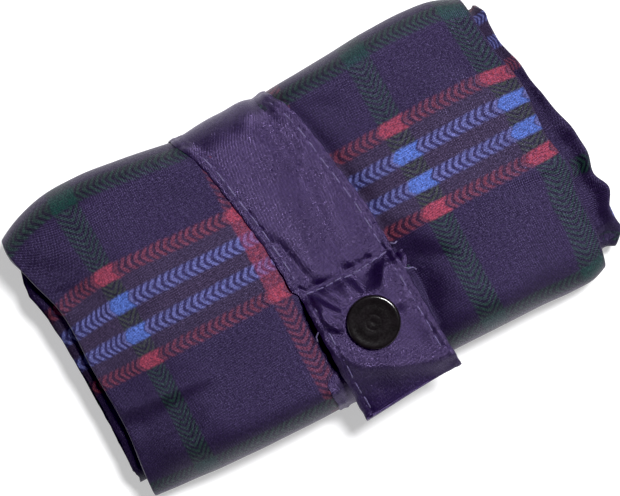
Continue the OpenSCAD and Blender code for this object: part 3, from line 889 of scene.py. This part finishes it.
FRONT_Z = MID_Z + EDGE_R
STRAP_AIR = 0.15
HALF_T = STRAP_T / 2
LIFT = STRAP_AIR + HALF_T
STRAP_Z = FRONT_Z + LIFT
TAB_TOP = tab_hi[2]
TAB_TIP = tab_lo[1] - 0.3
TAB_Z = TAB_TOP - HALF_T - 0.05
PLY_DROP = 0.6

# The middle of strap and tail on the back, the roll's long edges where they bend, and the height of
# the needle holes under the roll
BACK_X = -6.0
HINGE_Y = 43.0
HOLE_Z = 0.36

# ---- strap and tab: one line over the shoulder, down the front, round the tab's tip and back
front_line = (
    [(11, HALF_T + 0.02), (17, HALF_T + 0.02), (22, HALF_T + 0.1), (25, 1.4)]
    + [(28.5, MID_Z - EDGE_R + TURN - LIFT)]
    + arc(CENTRE_Y, MID_Z + TURN / 2, EDGE_R - TURN / 2 + LIFT, -90, 90)
    + [(y, STRAP_Z) for y in (28, 20, 12, 4)]
    + [(-2, STRAP_Z + 0.2), (-6.5, STRAP_Z + 0.75), (-9.5, STRAP_Z + 0.5), (SEAM_Y - 0.4, STRAP_Z - 0.05)]
)
tab_points = [
    (SEAM_Y - 2.2, STRAP_Z + 0.9), (-15.5, TAB_Z - 1.3), (-18.5, TAB_Z - 0.1), (-21, TAB_Z), (-27, TAB_Z),
    (-33, TAB_Z), (-37, TAB_Z - 0.35), (-42, TAB_Z - 1.3), (-46.5, TAB_Z - 2.1),
]
tip_points = [
    (TAB_TIP + 0.9, TAB_Z - 2.7), (TAB_TIP + 0.1, TAB_Z - 2.8), (TAB_TIP, TAB_Z - 3.05),
    (TAB_TIP + 0.1, TAB_Z - 3.3), (TAB_TIP + 0.9, TAB_Z - 3.35),
]
under_points = [(y, z - PLY_DROP) for y, z in tab_points[::-1]]
under_points[-1] = (SEAM_Y - 2.6, STRAP_Z + 0.35)
whole_line = front_line + tab_points + tip_points + under_points


def front_edges(s, y):
    """X of the strap's and tab's edges. The strap runs straight on the back and slants on the front."""
    back = BACK_X + (curve_through(STRAP_LINE, HINGE_Y) - BACK_X) * smooth(0, SHOULDER_S, s)
    middle = np.where(s > SHOULDER_S, curve_through(STRAP_LINE, y), back)
    on_tab = 1 - smooth(-11.4, -9.3, y)
    down = np.clip((SEAM_Y - y) / (SEAM_Y - TAB_TIP), 0, 1)
    lo = (middle - STRAP_W / 2) * (1 - on_tab) + (-7.6 + 0.3 * down) * on_tab
    hi = (middle + STRAP_W / 2 + 0.2) * (1 - on_tab) + (21.3 + 1.9 * down) * on_tab
    # The folded-back end shows beside the tab's upper corner
    under = (s > TIP_S) * 1.0
    hi = hi + under * 2.3 * smooth(-20, -15, y)
    return lo + scallop(s, -1, 31.7), hi + scallop(s, 1, 57.1)


# Folds on the strap, as for CREASES
STRAP_FOLDS = [
    ((7, 44), (10, 20), 2.2, -0.9),
    ((11, 20), (9, -6), 2.4, -0.9),
    ((13, 36), (17, 8), 2.0, 0.5),
    ((-2, 22), (2, -8), 5.5, 1.1),
    ((-18, 40), (-12, 24), 6.0, -0.9),
    ((0, 40), (3, 26), 3.0, 0.6),
    ((-7, 6), (-3, -9), 1.6, -0.6),
    ((3, 4), (5, -10), 1.3, -0.5),
]


TAB_FOLDS = [
    ((-7, -13), (1, -22), 1.3, 1.3),
    ((-7, -17), (-1, -26), 1.2, 1.0),
    ((-2, -11), (3, -20), 1.1, 0.8),
    ((8, -12), (9, -19), 1.4, -0.7),
    ((17, -14), (14, -21), 1.5, 0.8),
    ((21, -24), (15, -27), 1.8, 0.7),
]


# The tab's soft ridge: how far from the stud it runs, and its direction
RIDGE_R = 11.6
RIDGE_X, RIDGE_Y = 0.883, -0.469


def front_face(s, t, y):
    """Lengthwise folds of the strap, puckers at the cross seam, and the tab's folds round the stud."""
    inner = 1 - smooth(STRAP_W / 2 - 4.5, STRAP_W / 2 - 1.5, np.abs(t))
    on_tab = 1 - smooth(SEAM_Y - 3, SEAM_Y, y)
    above = smooth(SEAM_Y - 1, SEAM_Y + 2, y)
    from_seam = np.abs(y - SEAM_Y)
    folds = ripple(t - 0.25 * y, y, 6.5, 46, 21.4) * 0.3 * inner * above
    broad = ripple(t + 0.15 * y, y, 11, 26, 3.3) * 0.35 * inner * above
    seam = ripple(t, 0 * t, 2.6, 1, 14.6) * 0.42 * np.exp(-((from_seam / 3.2) ** 1.4))
    # Round the stud
    lo, hi = front_edges(s, y)
    x = lo + (hi - lo) * (t / STRAP_W + 0.5)
    crown = (1.0 - (t / (STRAP_W / 2)) ** 2) * 0.9 + creases(STRAP_FOLDS, x, y) * inner
    rise = smooth(SHOULDER_S - 16, SHOULDER_S + 4, s)
    waves = (folds + broad + crown * above) * rise
    dx, dy = x - SNAP[0], y - SNAP[1]
    r = np.hypot(dx, dy)
    angle = np.arctan2(dy, dx)
    ring = smooth(CAP_R - 2.2, CAP_R + 1.6, r)
    above_tip = smooth(TAB_TIP, TAB_TIP + 10, y)
    # A soft ridge runs under the stud and out to the right edge; the tip falls away from it
    across, down = RIDGE_X * dx + RIDGE_Y * dy, RIDGE_Y * dx - RIDGE_X * dy
    q = np.hypot(across * np.where(across > 0, 0.3, 1.0), down)
    below = smooth(-1, 7, down)
    ridge = 1.5 * np.exp(-(((q - RIDGE_R) / np.where(q < RIDGE_R, 2.8, 3.2)) ** 2))
    puff = below * (ridge - 0.1 * np.maximum(q - RIDGE_R - 0.4, 0))
    upward = smooth(-0.2, 0.6, np.sin(angle - 0.5))
    pulls = 0.7 * np.cos(angle * 7 + 0.6) * np.exp(-(((r - 12) / 4.0) ** 2)) * upward
    loose = ripple(t, y, 8, 10, 9.1) * 0.55 * above_tip + creases(TAB_FOLDS, x, y) * inner
    tab = ring * (puff + pulls + loose) * on_tab
    side = np.where(s <= TIP_S, 1.0, -1.0)
    return side * (waves + seam + tab + stitch_relief(s, t, 4.4))


def front_place(x, y, z, s):
    """The strap follows the roll; the tab stands free of it, and its tip isn't quite square."""
    wx, wy, wz = shape_roll(x, y, z, 0.0)
    hold = np.where(s > SHOULDER_S, smooth(SEAM_Y + 1, SEAM_Y + 8, y), 1.0)
    down = np.clip((SEAM_Y - y) / (SEAM_Y - TAB_TIP), 0, 1) ** 2
    px = x + (wx - x) * hold
    py = y + (wy - y) * hold + down * (x - 7.5) * 0.085
    pz = z + (wz - z) * hold + down * 0.5 * np.cos((x - 4) / 6) - 3.6 * smooth(0.5, 1.2, down**0.5)
    return px, py, on_table(pz)


SHOULDER_S = TIP_S = 0.0
front = Ribbon(whole_line, 0.42, front_edges, front_face, front_place)
SHOULDER_S = float(front.at[int(np.argmax(front.line[:, 0]))])
TIP_S = float(front.at[int(np.argmin(front.line[:, 0]))])
on_front = (front.at > SHOULDER_S) & (front.at < TIP_S)
SEAM_S = float(front.at[on_front][int(np.argmin(np.abs(front.line[on_front, 0] - SEAM_Y)))])

strap_obj = finish_piece(front.mesh("strap_cloth", 0, SEAM_S, STRAP_T), SATIN)
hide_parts("strap_back", "strap_front")
tab_obj = finish_piece(front.mesh("tab_cloth", SEAM_S, front.at[-1], STRAP_T), SATIN)
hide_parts("strap_tab")


def across_hinge(obj):
    """For a piece between the roll and the strap or tail: it only bakes the piece's place into its mesh."""
    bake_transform(obj)


across_hinge(strap_obj)
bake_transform(tab_obj)

# ---- the tail: from the anchor on the back, round the lower edge and under the tab
TAIL_X = sum(b[0] for b in cad("tail_front")) / 2
TAIL_END = cad("tail_front")[1][1]
TAIL_Z = stud_lo[2] + 0.4 + 0.22
TAIL_T = 0.42
tail_line = (
    [(23, 0.74), (16, 0.74), (9, 0.7), (5, HALF_T + 0.05), (-12, HALF_T + 0.02), (-28, HALF_T + 0.02)]
    + arc(-CENTRE_Y, MID_Z, EDGE_R + LIFT + 0.1, 270, 90)
    + [(-28, TAIL_Z), (SNAP[1] + 3, TAIL_Z), (TAIL_END - 2, TAIL_Z), (TAIL_END - 0.2, TAIL_Z + 0.1),
       (TAIL_END, TAIL_Z + 0.27), (TAIL_END - 0.2, TAIL_Z + 0.45), (TAIL_END - 3, TAIL_Z + 0.54),
       (SNAP[1], TAIL_Z + 0.54), (-32, TAIL_Z + 0.54)]
)


def tail_edges(s, y):
    """X of the tail's edges; its left corner on the front is folded in."""
    over = smooth(60, 75, s)
    middle = (BACK_X + (TAIL_X - BACK_X) * (1 - smooth(-33, 20, y))) * (1 - over) + TAIL_X * over
    folded = over * smooth(-36, -31, y)
    lo = middle - STRAP_W / 2 + 5.5 * folded + ripple(s, 0 * s, 3, 1, 41.2) * 0.35 * over
    return lo, middle + STRAP_W / 2 + ripple(s, 0 * s, 5, 1, 43.2) * 0.2 * over


def tail_face(s, t, y):
    """Folds and stitching where the tail is seen."""
    seen = smooth(52, 64, s) * (1 - smooth(88, 96, s))
    folds = ripple(t, s, 5, 14, 15.5) * 0.25
    return seen * (folds + stitch_relief(s, t, 2.2))


def tail_place(x, y, z, s):
    px, py, pz = shape_roll(x, y, z, 0.0)
    return px, py, on_table(pz)


tail = Ribbon(tail_line, 0.6, tail_edges, tail_face, tail_place)
tail_obj = finish_piece(tail.mesh("tail_cloth", 0, tail.at[-1], TAIL_T), SATIN)
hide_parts("tail_back", "tail_front")
across_hinge(tail_obj)


# ---------------------------------------------------------------- stitching

def tube(centres, radius, out, sides=8):
    """Points and faces of a thread along its middle line; out is a direction across it."""
    centres = np.array(centres, float)
    along = np.gradient(centres, axis=0)
    along /= np.linalg.norm(along, axis=1)[:, None]
    up = np.array(out, float)[None, :] - along * (along @ np.array(out, float))[:, None]
    up /= np.linalg.norm(up, axis=1)[:, None]
    side = np.cross(along, up)
    w = 2 * math.pi * np.arange(sides) / sides
    ripple_r = radius * (1 + 0.14 * np.cos(2 * w[None, :] - 1.1 * np.arange(len(centres))[:, None]))
    points = (
        centres[:, None, :]
        + up[:, None, :] * (ripple_r * np.cos(w))[:, :, None]
        + side[:, None, :] * (ripple_r * np.sin(w))[:, :, None]
    ).reshape(-1, 3)
    return points, tube_faces(len(centres), sides)


def thread_piece(name, node, stitches, radius=0.19, ends=()):
    """One mesh of short threads. Each stitch is (start, end, outward) and arches out of the cloth;
    each of ends is a loose end, as its points."""
    points, faces = [], []

    def add(centres, out):
        more, ring = tube(centres, radius, out)
        faces.extend(tuple(i + len(points) for i in f) for f in ring)
        points.extend(more)

    for a, b, out in stitches:
        a, b, out = (np.array(v, float) for v in (a, b, out))
        out /= np.linalg.norm(out)
        t = np.linspace(0, 1, 11)[:, None]
        height = -0.34 + 0.52 * np.minimum(1, np.sin(math.pi * t) * 1.7)
        add(a + (b - a) * t + out * height, out)
    for line in ends:
        line = np.array(line, float)
        t = np.linspace(0, len(line) - 1, 4 * len(line))
        add(np.stack([np.interp(t, range(len(line)), line[:, i]) for i in range(3)], 1), (0.3, 0.2, 1))
    obj = finish_piece(make_mesh(name, points, faces), THREAD)
    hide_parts(node)
    return obj


def stitch_row(ribbon, t, s0, s1, lift, seed):
    """Stitches along a ribbon at t from its middle line, each a little uneven. The needle goes down
    at whole multiples of the pitch."""
    rng = np.random.default_rng(seed)
    out = []
    for i in range(math.ceil(s0 / STITCH_PITCH), math.floor(s1 / STITCH_PITCH)):
        a = i * STITCH_PITCH + 0.32 + rng.uniform(-0.12, 0.12)
        b = (i + 1) * STITCH_PITCH - 0.32 + rng.uniform(-0.12, 0.12)
        ta, tb = t + rng.uniform(-0.15, 0.15), t + rng.uniform(-0.15, 0.15)
        middle = (a + b) / 2
        up = ribbon.surface(middle, t, lift + 1) - ribbon.surface(middle, t, lift)
        out.append((ribbon.surface(a, ta, lift), ribbon.surface(b, tb, lift), up))
    return out


ROW_T = STRAP_W / 2 - STITCH_INSET
SIDES = (("left", -1), ("right", 1))
loose_ends = {
    "left": [[(-6.6, -21.5, 25.2), (-7.6, -22.6, 25.3), (-8.6, -23.4, 24.9), (-8.9, -24.6, 24.4)]],
    "right": [[(21.2, -17.6, 24.9), (22.4, -18.6, 25.1), (23.6, -18.9, 24.6), (24.3, -19.9, 24.2)],
              [(21.4, -10.2, 22.6), (22.3, -10.9, 22.9), (23.2, -10.6, 22.7)]],
}
for side, sign in SIDES:
    row = stitch_row(front, sign * ROW_T, 24, SEAM_S - 0.5, HALF_T, 40 + sign)
    across_hinge(thread_piece(f"strap_thread_{side}", f"front_stitch_{side}", row))
    row = stitch_row(front, sign * ROW_T, SEAM_S + 1.2, TIP_S - 0.5, HALF_T, 50 + sign)
    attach(thread_piece(f"tab_thread_{side}", f"tab_stitch_{side}", row, ends=loose_ends[side]), "tab")
    row = stitch_row(tail, sign * ROW_T, 54, tail.at[-1] - 17, TAIL_T / 2, 60 + sign)
    across_hinge(thread_piece(f"tail_thread_{side}", f"tail_stitch_{side}", row))


def cross_row():
    """The row across the strap that holds the folded-back end; it sags a little in the middle."""
    rng = np.random.default_rng(70)
    out = []
    reach = ROW_T + 0.4
    count = 9
    for i in range(count):
        ends = []
        for t in (-reach + 2 * reach * (i + 0.08) / count, -reach + 2 * reach * (i + 0.9) / count):
            s = SEAM_S + 0.7 + 1.1 * (1 - (t / reach) ** 2) + rng.uniform(-0.2, 0.2)
            ends.append(front.surface(s, t, HALF_T))
        up = front.surface(SEAM_S + 1, t, HALF_T + 1) - front.surface(SEAM_S + 1, t, HALF_T)
        out.append((ends[0], ends[1], up))
    return out


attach(thread_piece("cross_thread", "cross_stitch", cross_row()), "tab")


def anchor_rows():
    """Box stitching under the roll that holds strap and tail."""
    out = []
    corners = [(-9, 13), (9, 13), (9, 21), (-9, 21)]
    for (x0, y0), (x1, y1) in zip(corners, corners[1:] + corners[:1]):
        count = max(1, round(math.hypot(x1 - x0, y1 - y0) / 3))
        for i in range(count):
            ends = [(i + part) / count for part in (0.08, 0.92)]
            p, q = ((BACK_X + x0 + (x1 - x0) * a, y0 + (y1 - y0) * a, HOLE_Z) for a in ends)
            out.append((p, q, (0, 0, -1)))
    return out


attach(thread_piece("anchor_thread", "anchor_stitch", anchor_rows(), radius=0.15), "bundle")

back_rows = []
for _, sign in SIDES:
    for a, b, _ in stitch_row(tail, sign * ROW_T, 20, 50, -0.1, 63 + sign):
        back_rows.append((np.append(a[:2], HOLE_Z), np.append(b[:2], HOLE_Z), (0, 0, -1)))
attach(thread_piece("tail_back_thread", "strap_back_stitch", back_rows, radius=0.15), "bundle")


def bottom_seam_rows():
    """The bag's bottom seam, on the back of the roll beside the strap."""
    out = []
    y = FREE_EDGE_Y - 5
    for x in np.arange(WRAP_LO + 4, WRAP_HI - 6, 3.2):
        if -24 < x < 13:
            continue
        ends = []
        for px in (x, x + 2.7):
            at = np.argmin(np.abs(ROWS[: FLAT_STEPS[0], 0] - y))
            wave = float(outer_wrinkles(np.array(px), np.array(row_lengths(0)[at]), y, 0.0))
            qx, qy, qz = (float(v) for v in shape_roll(px, y, back_lo[2] - wave, 0.0))
            ends.append(np.array([qx, qy, float(on_table(qz)) + 0.2]))
        out.append((ends[0], ends[1], (0, 0, -1)))
    return out


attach(thread_piece("bottom_seam_thread", "bottom_seam", bottom_seam_rows(), radius=0.15), "bundle")


# ---------------------------------------------------------------- press stud

def turned(name, profile, steps=96):
    """A turned shape from (radius, height) points about the stud's axis, closed on the axis."""
    ring = np.linspace(0, 2 * math.pi, steps, endpoint=False)
    points = [(SNAP[0] + r * math.cos(w), SNAP[1] + r * math.sin(w), z) for r, z in profile for w in ring]
    return make_mesh(name, points, tube_faces(len(profile), steps))


def cap_profile():
    """A pressed cap: rolled rim, shallow dished face, faint ring and a centre dimple, on its post."""
    base = TAB_TOP
    height = cap_hi[2] - base
    r = CAP_R
    rim_r = 0.75
    out = [(0.02, cap_lo[2]), (1.3, cap_lo[2]), (1.4, cap_lo[2] + 0.1), (1.4, base - 0.05), (r - 1.2, base),
           (r - 0.5, base + 0.02), (r - 0.1, base + 0.16), (r, base + 0.42)]
    out += [(r - rim_r + rim_r * math.cos(a), base + height - rim_r + rim_r * math.sin(a))
            for a in np.linspace(0, math.pi / 2, 10)]
    dish = height - 0.1
    out += [(r - 1.3, base + height - 0.02), (r - 1.8, base + height - 0.06), (r - 2.5, base + dish),
            (4.2, base + dish + 0.02), (2.5, base + dish + 0.02), (2.3, base + dish),
            (2.1, base + dish - 0.01), (1.9, base + dish), (1.7, base + dish + 0.01), (1.0, base + dish),
            (0.7, base + dish - 0.02), (0.4, base + dish - 0.04), (0.02, base + dish - 0.05)]
    return out


cap = finish_piece(turned("press_cap", cap_profile()), GUNMETAL)
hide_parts("snap_cap")
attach(cap, "tab")

for node in ("snap_socket", "snap_stud", "stud_rivet", "socket_spring"):
    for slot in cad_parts[node].material_slots:
        slot.material = SPRING if node == "socket_spring" else NICKEL


# ---------------------------------------------------------------- stage, light and camera

def floor(shade, size=3000.0, z=-0.15):
    """A pale table, lit from within a little so that shadows stay soft."""
    g = Graph("pale_floor")
    mottle = g.noise(g.node("ShaderNodeTexCoord").outputs["Object"], 30.0)
    lighter = tuple(c * 1.03 for c in shade) + (1.0,)
    g.set(
        Base_Color=g.mix(mottle, (*shade, 1.0), lighter), Roughness=0.9,
        Emission_Color=(1.0, 1.0, 1.0, 1.0), Emission_Strength=0.42,
    )
    corners = [(-size, -size, z), (size, -size, z), (size, size, z), (-size, size, z)]
    obj = make_mesh("floor", corners, [(0, 1, 2, 3)])
    obj.data.materials.append(g.material)


def add(name, data, place):
    obj = bpy.data.objects.new(name, data)
    bpy.context.collection.objects.link(obj)
    obj.location = place
    return obj


def area_light(name, place, size, power):
    """A round light that points at the object."""
    light = bpy.data.lights.new(name, "AREA")
    light.shape = "DISK"
    light.size = size
    light.energy = power
    add(name, light, place).rotation_euler = (-Vector(place)).to_track_quat("-Z", "Y").to_euler()


floor((0.62, 0.62, 0.63))
area_light("window", (0.38, 0.16, 1.0), 0.26, 17)
area_light("left_softbox", (-0.8, 0.1, 0.7), 0.5, 0.4)

scene = bpy.context.scene
scene.world = bpy.data.worlds.new("studio")
scene.world.use_nodes = True
studio = scene.world.node_tree.nodes["Background"].inputs
studio["Color"].default_value = (1.0, 1.0, 1.0, 1.0)
studio["Strength"].default_value = 0.08
scene.view_settings.view_transform = "Standard"
scene.view_settings.exposure = 0.08
scene.view_settings.use_curve_mapping = True
scene.view_settings.curve_mapping.black_level = (0.005, 0.005, 0.005)

# The camera looks straight down on the front, turned so that the roll slants up to the right
VIEW_TURN = math.radians(-28)
VIEW_WIDTH = 170.3
VIEW_DISTANCE = 700.0
VIEW_CENTRE = (1.3, -1.1)
SENSOR = 36.0
lens = bpy.data.cameras.new("camera")
lens.sensor_width = SENSOR
lens.lens = SENSOR * VIEW_DISTANCE / VIEW_WIDTH
lens.clip_end = 20
scene.camera = add("camera", lens, (VIEW_CENTRE[0] * MM, VIEW_CENTRE[1] * MM, (FRONT_Z + VIEW_DISTANCE) * MM))
scene.camera.rotation_euler = (0, 0, VIEW_TURN)
